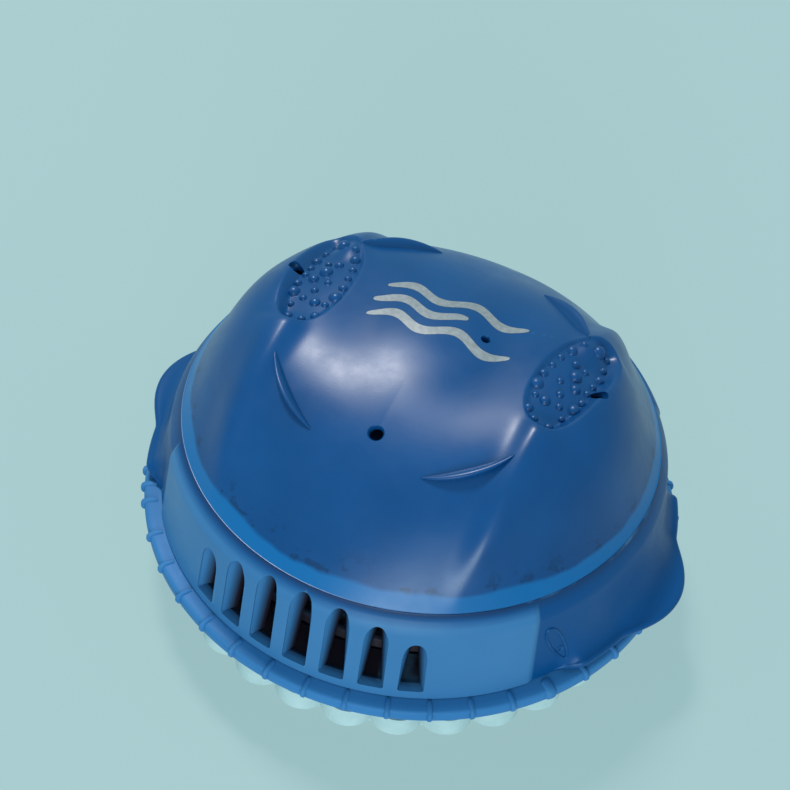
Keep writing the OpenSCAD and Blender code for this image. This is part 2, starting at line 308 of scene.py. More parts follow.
def dome_grid(cols, rows):
    a, b = np.meshgrid(even_columns(cols), even_rows(rows))
    plain = bumped(a, b)
    normals = grid_normals(plain)
    return detailed(plain, normals), normals


def surface_at(x, y, lift=0.0):
    """The point above (x, y) on the finished dome, and the normal there."""
    phi = math.atan2(y, x)
    g = 1 - (1 - SEAM_G) * np.linspace(1, 0, 1500) ** 2
    line = bumped(np.full_like(g, phi), g)
    reach = np.hypot(line[:, 0], line[:, 1])
    order = np.argsort(reach)
    away = math.hypot(x, y)
    best = float(np.interp(away, reach[order], g[order]))
    height = float(np.interp(away, reach[order], line[order, 2]))
    normal = np.array([0.0, 0.0, 1.0])
    if away > 1.5:
        step = 0.004
        turns = phi + step * np.array([1, -1, 0, 0])
        ways = best + step * np.array([0, 0, 1, -1])
        near = bumped(turns, ways)
        normal = unit(np.cross(near[0] - near[1], near[2] - near[3]))
    spot = np.array([[x, y, height]])
    return detailed(spot, normal[None])[0] + normal * lift, normal


def hole_cutter(spots):
    """Vent holes, one closed cutter for each (point, normal, radius, mouth radius)."""
    parts = []
    sides = 48
    a = np.arange(sides) * 2 * math.pi / sides
    for spot, normal, radius, mouth in spots:
        side = unit(np.cross(normal, [0.3, 0.9, 0.1]))
        up = np.cross(normal, side)
        profile = [(mouth, 4.0), (mouth, 0.12), (radius * 1.1, -0.3), (radius, -0.8),
                   (radius, -9.0)]
        rows = []
        for r, h in profile:
            round_it = np.cos(a)[:, None] * side + np.sin(a)[:, None] * up
            rows.append(spot + normal * h + r * round_it)
        pts = np.concatenate(rows)
        faces = quad_strip(len(profile), sides)
        faces += end_caps(len(pts), sides)
        parts.append((pts, faces))
    return joined("cutter", parts)


def build_dome():
    cols, rows, inner_rows = 640, 210, 60
    outer, normals = dome_grid(cols, rows)
    a, b = np.meshgrid(even_columns(cols), even_rows(inner_rows))
    inner = bumped(a, b)
    inner = inner - grid_normals(inner) * (WALL + pad_depth(inner))[..., None]
    foot = outer[0]
    inner[0] = foot * (1 - WALL / np.linalg.norm(foot[:, :2], axis=1, keepdims=True))
    inner[0, :, 2] = SEAM_Z
    lip = foot.copy()
    outer[0, :, 2] += 0.3
    lip[:, :2] *= 1 - 0.25 / np.linalg.norm(lip[:, :2], axis=1, keepdims=True)
    shells = np.concatenate([inner[::-1], lip[None], outer])
    poles = [[0, 0, CROWN_Z], [0, 0, CROWN_Z - WALL]]
    points = np.concatenate([shells.reshape(-1, 3), poles])
    total = len(shells)
    faces = quad_strip(total, cols)
    top = len(points) - 2
    last = (total - 1) * cols
    faces += [(last + i, last + (i + 1) % cols, top) for i in range(cols)]
    faces += [((i + 1) % cols, i, top + 1) for i in range(cols)]
    dome = make_mesh("dome_moulding", points, faces)
    spots = [(*surface_at(*FRONT_HOLE), HOLE_R, 1.3 * HOLE_R),
             (*surface_at(*CROWN_HOLE), CROWN_HOLE_R, 1.25 * CROWN_HOLE_R)]
    spots += [(*surface_at(x, PAD_HOLE_Y), HOLE_R, 1.05 * HOLE_R)
              for x in (-PAD_HOLE_X, PAD_HOLE_X)]
    apply_cut(dome, hole_cutter(spots))
    shade(dome, 38)
    return dome


# ---------------------------------------------------------------- nubs, crescents, emblem


def nub(spot, normal, radius):
    """A little round-topped stud standing on the pad."""
    side = unit(np.cross(normal, [0.2, 1.0, 0.1]))
    up = np.cross(normal, side)
    cols, rows = 20, 8
    pts = []
    foot_angle, tall = 0.22, 0.86
    profile = [(1.22, -0.45), (1.12, -0.02), (1.02, 0.14)]
    for j in range(rows):
        a = foot_angle + (math.pi / 2 - foot_angle) * j / rows
        profile.append((math.cos(a), math.sin(a) * tall))
    for r, h in profile:
        for i in range(cols):
            t = 2 * math.pi * i / cols
            step = r * math.cos(t) * side + r * math.sin(t) * up + h * normal
            pts.append(spot + radius * step)
    pts.append(spot + normal * radius * tall)
    faces = quad_strip(len(profile), cols)
    last = (len(profile) - 1) * cols
    faces += [(last + i, last + (i + 1) % cols, len(pts) - 1) for i in range(cols)]
    faces.append(tuple(range(cols)))
    return np.array(pts), faces


def pad_nubs(sign):
    """Staggered rows of studs that keep a margin inside the pad outline."""
    sizes = [1.05, 1.35, 1.15, 1.9, 1.1, 1.55]
    parts = []
    row_step, col_step = 5.1, 4.7
    count = 0
    for j in range(-4, 5):
        y = PAD_Y - 1.0 + j * row_step * 0.86
        inner, outer = pad_edges(np.array(y))
        left, right = float(inner) + 2.6, float(outer) - 3.4
        if right - left < 1.0:
            continue
        n = max(1, int(round((right - left) / col_step)) + 1)
        if j % 2 and n > 1:
            n -= 1
        for i in range(n):
            t = 0.5 if n == 1 else i / (n - 1)
            x = left + (right - left) * t
            x += 0.5 * math.sin(2.1 * count)
            yy = y + 0.55 * math.cos(1.7 * count) + 0.18 * (x - 39)
            spot, normal = surface_at(sign * x, yy)
            parts.append(nub(spot, normal, sizes[(count * 5 + j) % len(sizes)] * 0.98))
            count += 1
    return joined("pad_nubs_" + ("right" if sign > 0 else "left"), parts)


def crescent(sign, back):
    """A raised blade that follows the dome at a steady distance from its middle."""
    start, end = math.radians(34.5), math.radians(68)
    ring = 43.9
    widest, tallest = 1.25, 2.5
    steps, around = 60, 13
    pts = []
    for k in range(steps + 1):
        t = k / steps
        a = start + (end - start) * t
        x, y = sign * ring * math.cos(a), back * ring * math.sin(a)
        spot, normal = surface_at(x, y)
        along = unit(np.array([-sign * math.sin(a), back * math.cos(a), 0.0]))
        out = unit(np.cross(along, normal)) * (1 if sign * back > 0 else -1)
        swell = math.sin(math.pi * t) ** 0.75
        half = 0.12 + widest * swell
        tall = 0.05 + tallest * swell * (1.12 - 0.25 * t)
        for i in range(around):
            u = -1 + 2 * i / (around - 1)
            lift = tall * (1 - abs(u) ** 2.6) - 0.5 * abs(u) ** 6
            lean = 0.9 * swell * (1 - u * u)
            pts.append(spot + out * (half * u + lean) + normal * lift)
    faces = quad_strip(steps + 1, around, wrap=False)
    faces += [(k * around, (k + 1) * around, (k + 2) * around - 1, (k + 1) * around - 1)
              for k in range(steps)]
    faces += end_caps(len(pts), around)
    return np.array(pts), faces


def ripple(x0, y0, length):
    """One wavy stripe of ink laid on the crown."""
    steps, around = 90, 7
    thick, wave, sway = 3.4, 19, 1.9
    pts = []
    for k in range(steps + 1):
        t = k / steps
        x = x0 + (t - 0.5) * length
        y = y0 + sway * math.sin(2 * math.pi * (x / wave)) + 0.06 * x
        half = thick / 2 * min(1.0, 0.2 + 2.2 * math.sqrt(t * (1 - t)))
        top = [surface_at(x, y + half * u, 0.1)[0] for u in np.linspace(-1, 1, around)]
        floor = [surface_at(x, y + half * u, -0.3)[0] for u in (1, -1)]
        pts += top + floor
    n = around + 2
    faces = quad_strip(steps + 1, n)
    faces += end_caps(len(pts), n)
    return np.array(pts), faces


def build_emblem():
    parts = [ripple(0, 15.2, 42), ripple(-8.5, 8.4, 27), ripple(0, 1.6, 42)]
    return joined("crown_ripples", parts, 50)


# ---------------------------------------------------------------- skirt


def wing_share(phi):
    """1 in the middle of a wing, 0 on the slotted faces."""
    return ease((WING_HALF - side_angle(phi)) / WING_BLEND)


def wing_edge(phi):
    """Radius of the wing's outline: a round lobe on a narrow brim."""
    lobe = np.maximum(1 - (side_angle(phi) / LOBE_HALF) ** 2, 0) ** 1.5
    return BRIM_R + (WING_REACH - BRIM_R) * lobe


def bezier(a, b, c, d, t):
    t = t[:, None]
    return (1 - t) ** 3 * a + 3 * (1 - t) ** 2 * t * b + 3 * (1 - t) * t**2 * c + t**3 * d


# Points of the outside of the skirt above and below the foot of the dome's curve.
SHOULDER_POINTS, FALL_POINTS = 12, 35


def skirt_profile(phi):
    """Closed outline of the skirt in one upright plane, as (radius, height) pairs."""
    share = float(wing_share(np.array(phi)))
    edge = float(wing_edge(np.array(phi)))
    from_front = math.pi / 2 - float(side_angle(np.array(phi)))
    proud = 0.6 * float(ease((PANEL_HALF - from_front) / math.radians(1.0)))
    shoulder = np.stack(base_line(SEAM_G * np.linspace(1, 0, SHOULDER_POINTS)), 1)
    t = np.linspace(0, 1, FALL_POINTS + 1)[1:]
    fall = np.stack([DOME_A + (FOOT_R - DOME_A) * t,
                     DOME_Z0 - (DOME_Z0 - FOOT_Z - TOE_R) * t], 1)
    brim = bezier(np.array([DOME_A, DOME_Z0]), np.array([DOME_A + 1.2, 43.0]),
                  np.array([DOME_A + 2.0, 32.8]), np.array([edge - LIP_R, 31.2]), t)
    outer = np.concatenate([shoulder, fall * (1 - share) + brim * share])
    outer[:, 0] += proud * ease((SEAM_Z - 0.5 - outer[:, 1]) / 0.8)
    a = np.linspace(math.pi / 2, -math.pi / 2, 9)
    lip = np.stack([edge - LIP_R + LIP_R * np.cos(a), 29.9 + LIP_R * np.sin(a)], 1)
    toe = np.stack([FOOT_R + proud - TOE_R + TOE_R * np.cos(a),
                    FOOT_Z + TOE_R + TOE_R * np.sin(a)], 1)
    bend = toe * (1 - share) + lip * share
    s = np.linspace(0, 1, 7)[1:]
    under = np.stack([(edge - LIP_R) + (FOOT_R - edge + LIP_R) * s, 28.6 - 1.2 * s], 1)
    sole = np.stack([FOOT_R - TOE_R - 0.1 * s, np.full_like(s, FOOT_Z)], 1)
    below = sole * (1 - share) + under * share
    lining = np.stack(base_line(SEAM_G * np.linspace(0, 1, 5)), 1) - [WALL, 0]
    rest = np.array([[FOOT_R - 0.7, FOOT_Z], [61.9, FOOT_Z], [61.5, FOOT_Z + 0.4],
                     [61.5, FLOOR_Z - 0.4], [61.9, FLOOR_Z], [FOOT_R - FOOT_WALL, FLOOR_Z]])
    return np.concatenate([outer, bend[1:], below, rest, lining])


def slot_top(k):
    """Height of a slot's top: an arch over the row, highest in the middle."""
    return SLOT_TOP - 0.5 * abs(k) ** 2.46


def slot_half(z, k):
    """Half width of slot k at a height."""
    spring = slot_top(k) - ARCH
    t = np.clip((z - SLOT_FOOT) / (spring - SLOT_FOOT), 0, 1)
    over = np.clip((z - spring) / ARCH, 0, 1)
    straight = HALF_AT_FOOT + (HALF_AT_ARCH - HALF_AT_FOOT) * t
    return straight * (1 - over**2.3) ** 0.45


def slot_outline(k):
    """Height and half width pairs up one side of slot k."""
    top = slot_top(k)
    heights = np.concatenate([np.linspace(SLOT_FOOT + 0.5, top - ARCH, 6),
                              top - ARCH * (1 - np.sin(np.linspace(0, math.pi / 2, 18)[1:]))])
    rows = [(SLOT_FOOT, 3.2)]
    return rows + [(float(z), float(slot_half(z, k))) for z in heights]


def face_turns(count):
    """(turn, index) of each of count evenly spaced places on the front and the back face."""
    for face in FACES:
        for i in range(count):
            k = i - (count - 1) / 2
            yield face - math.pi / 2 + k * PITCH, k


def slot_cutter():
    parts = []
    for turn, k in face_turns(SLOTS):
        out = np.array([math.cos(turn), math.sin(turn), 0])
        side = np.array([-math.sin(turn), math.cos(turn), 0])
        rows = slot_outline(k)
        ring = [(-w, z) for z, w in rows] + [(w, z) for z, w in reversed(rows[:-1])]
        pts = []
        for reach in (66.4, 79.0):
            pts += [reach * out + w * side + np.array([0, 0, z]) for w, z in ring]
        n = len(ring)
        faces = quad_strip(2, n)
        faces += end_caps(len(pts), n)
        parts.append((np.array(pts), faces))
    return joined("cutter", parts)


def build_skirt():
    cols = 720
    phis = np.arange(cols) * 2 * math.pi / cols
    loops = np.array([skirt_profile(p) for p in phis])
    n = loops.shape[1]
    r, z = loops[..., 0], loops[..., 1]
    pts = np.stack([r * np.cos(phis)[:, None], r * np.sin(phis)[:, None], z], -1).reshape(-1, 3)
    skirt = make_mesh("skirt_moulding", pts, closed_grid(cols, n))
    apply_cut(skirt, slot_cutter())
    soften = skirt.modifiers.new("soften", "BEVEL")
    soften.width = 0.35 * MM
    soften.segments = 2
    soften.limit_method = "ANGLE"
    soften.angle_limit = math.radians(50)
    shade(skirt, 40)
    return skirt


def wall_back(z):
    """Radius just inside the skirt's wall at a height."""
    if z <= DOME_Z0:
        drop = DOME_A - WALL - FOOT_R + FOOT_WALL
        return FOOT_R - FOOT_WALL + drop * (z - FLOOR_Z) / (DOME_Z0 - FLOOR_Z)
    r, _ = base_line(np.array((z - DOME_Z0) / (CROWN_Z - DOME_Z0)))
    return float(r) - WALL


def slit_half(z, k):
    """Half width of the slit behind slot k, a wedge that is widest at its foot."""
    t = np.clip((z - FLOOR_Z) / (slot_top(k) - 1.2 - FLOOR_Z), 0, 1)
    return float(2.2 * (1 - t) ** 0.85 + 0.15)


def slot_cheek(turn, k, sign):
    """The slanting cheek on one side of slot k, from just behind the face in to the slit."""
    out = np.array([math.cos(turn), math.sin(turn), 0])
    side = np.array([-math.sin(turn), math.cos(turn), 0]) * sign
    low, high = FLOOR_Z - 0.3, SEAM_Z - 1.2
    deep, tail, skin = 4.6, 2.2, 0.02
    pts = []
    rows = 30
    for j in range(rows + 1):
        z = low + (high - low) * j / rows
        front = wall_back(z) + WALL + 0.05
        back = front - deep
        mouth = float(slot_half(min(max(z, SLOT_FOOT + 0.5), slot_top(k)), k)) + skin
        slit = min(slit_half(z, k), mouth)
        far_front = front * math.tan(PITCH / 2) + skin
        far_back = (back - tail) * math.tan(PITCH / 2) + skin
        section = [(front, far_front), (front, min(mouth, far_front - 0.3))]
        for s in (0.12, 0.3, 0.55, 0.8, 1.0):
            section.append((front + (back - front) * s, mouth + (slit - mouth) * s**0.8))
        section += [(back - 0.5, slit + 0.05), (back - tail, slit + 0.9), (back - tail, far_back)]
        pts += [r * out + w * side + np.array([0, 0, z]) for r, w in section]
    n = len(section)
    faces = quad_strip(rows + 1, n)
    faces += end_caps(len(pts), n)
    return np.array(pts), faces


def build_fins():
    parts = []
    for turn, k in face_turns(SLOTS):
        parts += [slot_cheek(turn, k, sign) for sign in (-1, 1)]
    return joined("slot_cheeks", parts, 30)


def tube(path, radius, sides=10):
    """A round tube along a closed loop of points."""
    path = np.array(path)
    n = len(path)
    ahead = unit(np.roll(path, -1, axis=0) - np.roll(path, 1, axis=0))
    side = unit(np.cross(ahead, np.tile([0.01, 0.02, 1.0], (n, 1))))
    up = np.cross(ahead, side)
    pts = []
    for k in range(n):
        for i in range(sides):
            a = 2 * math.pi * i / sides
            pts.append(path[k] + radius * (math.cos(a) * side[k] + math.sin(a) * up[k]))
    return np.array(pts), closed_grid(n, sides)


def on_skirt(phi, z):
    """Point on the outside of the skirt at that angle and height."""
    loop = skirt_profile(phi)[:SHOULDER_POINTS + FALL_POINTS]
    order = np.argsort(loop[:, 1])
    r = float(np.interp(z, loop[order, 1], loop[order, 0]))
    return np.array([r * math.cos(phi), r * math.sin(phi), z])


def build_lock_marks():
    """Raised drop outline with a dot, the index that the ring's wide rib is turned to."""
    parts = []
    reach = 75
    tall, wide, lean, dot_r = 7.4, 2.3, 0.42, 0.9
    for face in FACES:
        turn = face - math.radians(31.8)
        path, dot = [], []
        for k in range(48):
            a = 2 * math.pi * k / 48
            h = tall * math.cos(a)
            w = wide * math.sin(a) * (1 + 0.2 * math.cos(a)) - lean * h
            path.append(on_skirt(turn + w / reach, 38.8 + h))
            dot.append(on_skirt(turn + (1.3 + dot_r * math.sin(a)) / reach,
                                35.8 + dot_r * math.cos(a)))
        parts.append(tube(path, 0.45))
        parts.append(tube(dot, 0.32, 8))
    return joined("lock_marks", parts)


# ---------------------------------------------------------------- twist ring


def build_ring():
    ring_z0 = RING_LOW[2]
    outline = [(RING_BORE, ring_z0 + 0.4), (RING_BORE + 0.4, ring_z0), (61.6, ring_z0),
               (62.0, ring_z0 + 0.4), (62.0, 21.7), (62.4, 22.0), (79.0, 22.0), (79.7, 22.3),
               (RIM_R - 0.05, 23.0), (RIM_R, 24.0), (RIM_R - 0.1, 25.0), (79.5, 25.6),
               (78.8, 25.85), (77.0, RIM_Z), (61.4, RIM_Z), (61.0, RIM_Z + 0.4), (61.0, 31.6),
               (60.6, 32.0), (RING_BORE + 0.4, 32.0), (RING_BORE, 31.6)]
    cols = 360
    n = len(outline)
    pts = []
    for i in range(cols):
        a = 2 * math.pi * i / cols
        pts += [(r * math.cos(a), r * math.sin(a), z) for r, z in outline]
    parts = [(np.array(pts), closed_grid(cols, n))]
    rib, index_rib, cluster_rib = 1.6, 3.2, 2.0
    for face in FACES:
        for k in range(-6, 7):
            wide = index_rib if k == 6 else rib
            parts.append(grip_rib(face - math.pi / 2 + (k + 0.5) * PITCH, wide))
        for k in (-1, 0, 1):
            parts.append(grip_rib(face - math.radians(151 - 4.6 * k), cluster_rib))
        for k in range(1, 5):
            parts.append(grip_rib(face - math.radians(34) + k * PITCH, rib))
    return joined("grip_ring", parts, 50)


def grip_rib(turn, wide):
    """A half-round bar across the flange and over its edge."""
    path = [(75.9, 25.6), (76.0, 26.45), (76.8, 26.62), (78.4, 26.5), (79.6, 26.2), (80.5, 25.6),
            (80.9, 24.7), (80.9, 23.6), (80.5, 22.8), (79.6, 22.3)]
    core = np.array([77.0, 24.0])
    out = np.array([math.cos(turn), math.sin(turn), 0])
    side = np.array([-math.sin(turn), math.cos(turn), 0])
    across = [(-1.0, 1.3), (-0.92, 0.45), (-0.6, 0.1), (0, 0), (0.6, 0.1), (0.92, 0.45),
              (1.0, 1.3)]
    pts = []
    for r, z in path:
        inward = core - np.array([r, z])
        inward = inward / np.linalg.norm(inward)
        for u, dip in across:
            q = np.array([r, z]) + inward * dip
            pts.append(q[0] * out + q[1] * np.array([0, 0, 1]) + side * u * wide / 2)
    n = len(across)
    faces = quad_strip(len(path), n, wrap=False)
    faces += [(j * n, (j + 1) * n, (j + 2) * n - 1, (j + 1) * n - 1) for j in range(len(path) - 1)]
    faces += end_caps(len(pts), n)
    return np.array(pts), faces


# ---------------------------------------------------------------- materials


class Nodes:
    """Short spelling for building a node material."""

    def __init__(self, name):
        self.mat = bpy.data.materials.new(name)
        self.mat.use_nodes = True
        self.tree = self.mat.node_tree
        self.bsdf = self.tree.nodes["Principled BSDF"]
        self.coord = self.new("ShaderNodeTexCoord")

    def new(self, kind, **inputs):
        node = self.tree.nodes.new(kind)
        for key, value in inputs.items():
            node.inputs[key.replace("_", " ")].default_value = value
        return node

    def link(self, a, b):
        self.tree.links.new(a, b)

    def noise(self, scale, detail=3.0, rough=0.5):
        n = self.new("ShaderNodeTexNoise", Scale=scale, Detail=detail, Roughness=rough)
        self.link(self.coord.outputs["Object"], n.inputs["Vector"])
        return n.outputs["Fac"]

    def ramp(self, source, stops):
        n = self.new("ShaderNodeValToRGB")
        ramp = n.color_ramp
        while len(ramp.elements) < len(stops):
            ramp.elements.new(0.5)
        for element, (place, colour) in zip(ramp.elements, stops):
            element.position = place
            element.color = (*colour, 1)
        self.link(source, n.inputs["Fac"])
        return n.outputs["Color"]

    def spread(self, source, low, high, low_in=0.0, high_in=1.0):
        n = self.new("ShaderNodeMapRange")
        n.inputs["From Min"].default_value = low_in
        n.inputs["From Max"].default_value = high_in
        n.inputs["To Min"].default_value = low
        n.inputs["To Max"].default_value = high
        self.link(source, n.inputs["Value"])
        return n.outputs["Result"]

    def calc(self, operation, *values):
        """A maths node fed by sockets or plain numbers."""
        n = self.new("ShaderNodeMath")
        n.operation = operation
        for socket, value in zip(n.inputs, values):
            if isinstance(value, float):
                socket.default_value = value
            else:
                self.link(value, socket)
        return n.outputs[0]

    def axes(self):
        """The object's own X, Y and Z in metres, as sockets."""
        split = self.new("ShaderNodeSeparateXYZ")
        self.link(self.coord.outputs["Object"], split.inputs[0])
        return split.outputs

    def mottle(self, deep, pale):
        """Soft patches of pigment between two colours."""
        return self.ramp(self.noise(38, 4), [(0.32, deep), (0.68, pale)])

    def mix(self, factor, a, b):
        n = self.new("ShaderNodeMix")
        n.data_type = "RGBA"
        self.link(factor, n.inputs["Factor"])
        for slot_name, value in (("A", a), ("B", b)):
            socket = [s for s in n.inputs if s.name == slot_name and s.type == "RGBA"][0]
            if isinstance(value, tuple):
                socket.default_value = (*value, 1)
            else:
                self.link(value, socket)
        return [s for s in n.outputs if s.type == "RGBA"][0]

    def bump(self, source, strength, distance, normal=None):
        n = self.new("ShaderNodeBump", Strength=strength, Distance=distance)
        self.link(source, n.inputs["Height"])
        if normal:
            self.link(normal, n.inputs["Normal"])
        return n.outputs["Normal"]

    def depth(self, lean):
        """Distance from the upright axis in metres, plus lean times the height."""
        flat = self.new("ShaderNodeVectorMath")
        flat.operation = "MULTIPLY"
        flat.inputs[1].default_value = (1.0, 1.0, 0.0)
        size = self.new("ShaderNodeVectorMath")
        size.operation = "LENGTH"
        self.link(self.coord.outputs["Object"], flat.inputs[0])
        self.link(flat.outputs["Vector"], size.inputs[0])
        return self.calc("MULTIPLY_ADD", self.axes()["Z"], lean, size.outputs["Value"])

    def edges(self):
        """1 along sharp outer edges, 0 elsewhere."""
        geo = self.new("ShaderNodeNewGeometry")
        return self.spread(geo.outputs["Pointiness"], 0.0, 1.0, 0.53, 0.62)


def moulded(name, deep, pale, roughness, worn=(0.1, 0.2, 0.35), specular=0.5):
    """Satin moulded plastic: mottled pigment, fine spark texture, rubbed edges."""
    m = Nodes(name)
    m.colour = m.mottle(deep, pale)
    finish_plastic(m, roughness, worn, specular)
    return m.mat


def finish_plastic(m, roughness, worn, specular):
    """Edge wear, roughness and bump over a plastic's colour."""
    rub = m.calc("MULTIPLY", m.edges(), m.spread(m.noise(160, 3), 0.0, 0.55, 0.4, 0.7))
    m.link(m.mix(rub, m.colour, worn), m.bsdf.inputs["Base Color"])
    m.link(m.spread(m.noise(70, 5, 0.6), roughness - 0.05, roughness + 0.07, 0.3, 0.7),
           m.bsdf.inputs["Roughness"])
    grain = m.bump(m.noise(2600, 2), 0.10, 0.00012)
    wave = m.bump(m.noise(45, 2), 0.06, 0.0006, grain)
    m.link(wave, m.bsdf.inputs["Normal"])
    m.bsdf.inputs["Specular IOR Level"].default_value = specular
    m.bsdf.inputs["IOR"].default_value = 1.49


def tide_plastic(name, deep, pale, painted_water_light):
    """Dome plastic: deep blue above the tide line, and below it a brighter blue that is painted
    light standing in for the glow of the water.
    """
    m = Nodes(name)
    z = m.axes()["Z"]
    wander = m.calc("ADD", z, m.spread(m.noise(60, 3), -0.0006, 0.0006, 0.3, 0.7))
    dry = m.mottle(deep, pale)
    # Below the tide line the colour turns to the brighter blue: painted light, not a colour of the
    # plastic.
    below = m.spread(wander, 1.0, 0.0, (TIDE_Z - 0.5) * MM, (TIDE_Z + 0.5) * MM)
    splash = m.calc("MULTIPLY", m.spread(z, 0.75, 0.0, (TIDE_Z + 0.5) * MM, (TIDE_Z + 7) * MM),
                    m.spread(m.noise(170, 5, 0.65), 0.0, 1.0, 0.56, 0.60))
    stained = m.mix(splash, dry, tuple(0.55 * c for c in deep))
    m.colour = m.mix(below, stained, painted_water_light)
    finish_plastic(m, 0.33, (0.03, 0.12, 0.26), 0.42)
    return m.mat


def skirt_plastic(name, deep, painted_light_panel, inside):
    """Skirt plastic: the slotted faces below the seam are paler than the wings between them; this
    paleness is painted light standing in for the glow of the water in front.
    """
    m = Nodes(name)
    xyz = m.axes()
    turn = m.calc("ARCTAN2", *(m.calc("ABSOLUTE", xyz[axis]) for axis in "XY"))
    faces = m.spread(turn, 1.0, 0.0, PANEL_HALF - 0.006, PANEL_HALF + 0.006)
    low = m.spread(xyz["Z"], 1.0, 0.0, (SEAM_Z - 3.5) * MM, (SEAM_Z - 0.6) * MM)
    patches = m.spread(m.noise(32, 4), 0.85, 1.0, 0.3, 0.7)
    # Paler slotted faces below the seam: painted light for the water's glow.
    outside = m.mix(m.calc("MULTIPLY", m.calc("MULTIPLY", faces, low), patches), deep, painted_light_panel)
    # Deeper in from the outer face the colour turns to painted shade.
    m.colour = m.mix(m.spread(m.depth(0.1), 1.0, 0.0, 0.0737, 0.0768), outside, inside)
    finish_plastic(m, 0.40, (0.10, 0.24, 0.42), 0.22)
    return m.mat


def ring_plastic(name, deep, pale, inside):
    """Plastic of the ring: paler on the ribbed flange; the collar inside the skirt is painted
    dark, painted shade.
    """
    m = Nodes(name)
    outside = m.mottle(deep, pale)
    # The collar, nearer the axis than the flange, turns to painted shade.
    m.colour = m.mix(m.spread(m.depth(0.0), 1.0, 0.0, 0.066, 0.074), outside, inside)
    finish_plastic(m, 0.46, (0.10, 0.24, 0.42), 0.12)
    return m.mat


def rubbery(name):
    m = Nodes(name)
    m.link(m.ramp(m.noise(300, 3), [(0.3, (0.012, 0.012, 0.013)), (0.7, (0.03, 0.03, 0.032))]),
           m.bsdf.inputs["Base Color"])
    m.link(m.spread(m.noise(500, 2), 0.5, 0.7), m.bsdf.inputs["Roughness"])
    m.link(m.bump(m.noise(1800, 2), 0.15, 0.0001), m.bsdf.inputs["Normal"])
    return m.mat


def steel(name):
    m = Nodes(name)
    m.link(m.ramp(m.noise(220, 4), [(0.3, (0.45, 0.46, 0.47)), (0.7, (0.62, 0.63, 0.64))]),
           m.bsdf.inputs["Base Color"])
    m.bsdf.inputs["Metallic"].default_value = 1.0
    m.link(m.spread(m.noise(900, 3), 0.22, 0.42), m.bsdf.inputs["Roughness"])
    m.link(m.bump(m.noise(1500, 3), 0.08, 0.0001), m.bsdf.inputs["Normal"])
    return m.mat


def foam(name):
    m = Nodes(name)
    cells = m.new("ShaderNodeTexVoronoi", Scale=700.0)
    m.link(m.coord.outputs["Object"], cells.inputs["Vector"])
    shades = [(0.0, (0.62, 0.62, 0.58)), (0.6, (0.86, 0.86, 0.82))]
    m.link(m.ramp(cells.outputs["Distance"], shades), m.bsdf.inputs["Base Color"])
    m.link(m.spread(m.noise(400, 2), 0.75, 0.95), m.bsdf.inputs["Roughness"])
    m.link(m.bump(cells.outputs["Distance"], 0.5, 0.0005), m.bsdf.inputs["Normal"])
    return m.mat


def chalky(name, dark, light, grain_scale):
    """Pressed or loose grains: tablets and mineral beads."""
    m = Nodes(name)
    cells = m.new("ShaderNodeTexVoronoi", Scale=grain_scale)
    m.link(m.coord.outputs["Object"], cells.inputs["Vector"])
    speck = m.ramp(cells.outputs["Distance"], [(0.05, dark), (0.55, light)])
    m.link(speck, m.bsdf.inputs["Base Color"])
    m.link(m.spread(m.noise(300, 3), 0.7, 0.95), m.bsdf.inputs["Roughness"])
    m.link(m.bump(cells.outputs["Distance"], 0.45, 0.0006), m.bsdf.inputs["Normal"])
    return m.mat


def mesh_screen(name):
    """Woven plastic screen."""
    m = Nodes(name)
    weave = m.new("ShaderNodeTexBrick", Scale=900.0)
    m.link(m.coord.outputs["Object"], weave.inputs["Vector"])
    m.link(m.ramp(weave.outputs["Fac"], [(0.2, (0.72, 0.75, 0.77)), (0.9, (0.25, 0.28, 0.3))]),
           m.bsdf.inputs["Base Color"])
    m.link(m.spread(m.noise(400, 2), 0.4, 0.6), m.bsdf.inputs["Roughness"])
    m.link(m.bump(weave.outputs["Fac"], 0.4, 0.0004), m.bsdf.inputs["Normal"])
    return m.mat


def silver_ink(name):
    m = Nodes(name)
    m.link(m.ramp(m.noise(700, 4), [(0.3, (0.27, 0.27, 0.29)), (0.7, (0.36, 0.36, 0.38))]),
           m.bsdf.inputs["Base Color"])
    m.bsdf.inputs["Metallic"].default_value = 0.35
    m.link(m.spread(m.noise(900, 3), 0.34, 0.5), m.bsdf.inputs["Roughness"])
    m.link(m.bump(m.noise(2400, 2), 0.15, 0.0001), m.bsdf.inputs["Normal"])
    return m.mat


def milky(name):
    """Pale translucent grey plastic."""
    mat = moulded(name, (0.44, 0.55, 0.55), (0.50, 0.60, 0.60), 0.42, worn=(0.6, 0.7, 0.7))
    bsdf = mat.node_tree.nodes["Principled BSDF"]
    bsdf.inputs["Subsurface Weight"].default_value = 0.3
    bsdf.inputs["Subsurface Radius"].default_value = (0.004, 0.005, 0.005)
    return mat


# Near-black colour for the insides of the slots and of the ring's collar: painted shade, not a
# colour of the plastic.
SLOT_PAINTED_SHADE = (0.022, 0.016, 0.026)

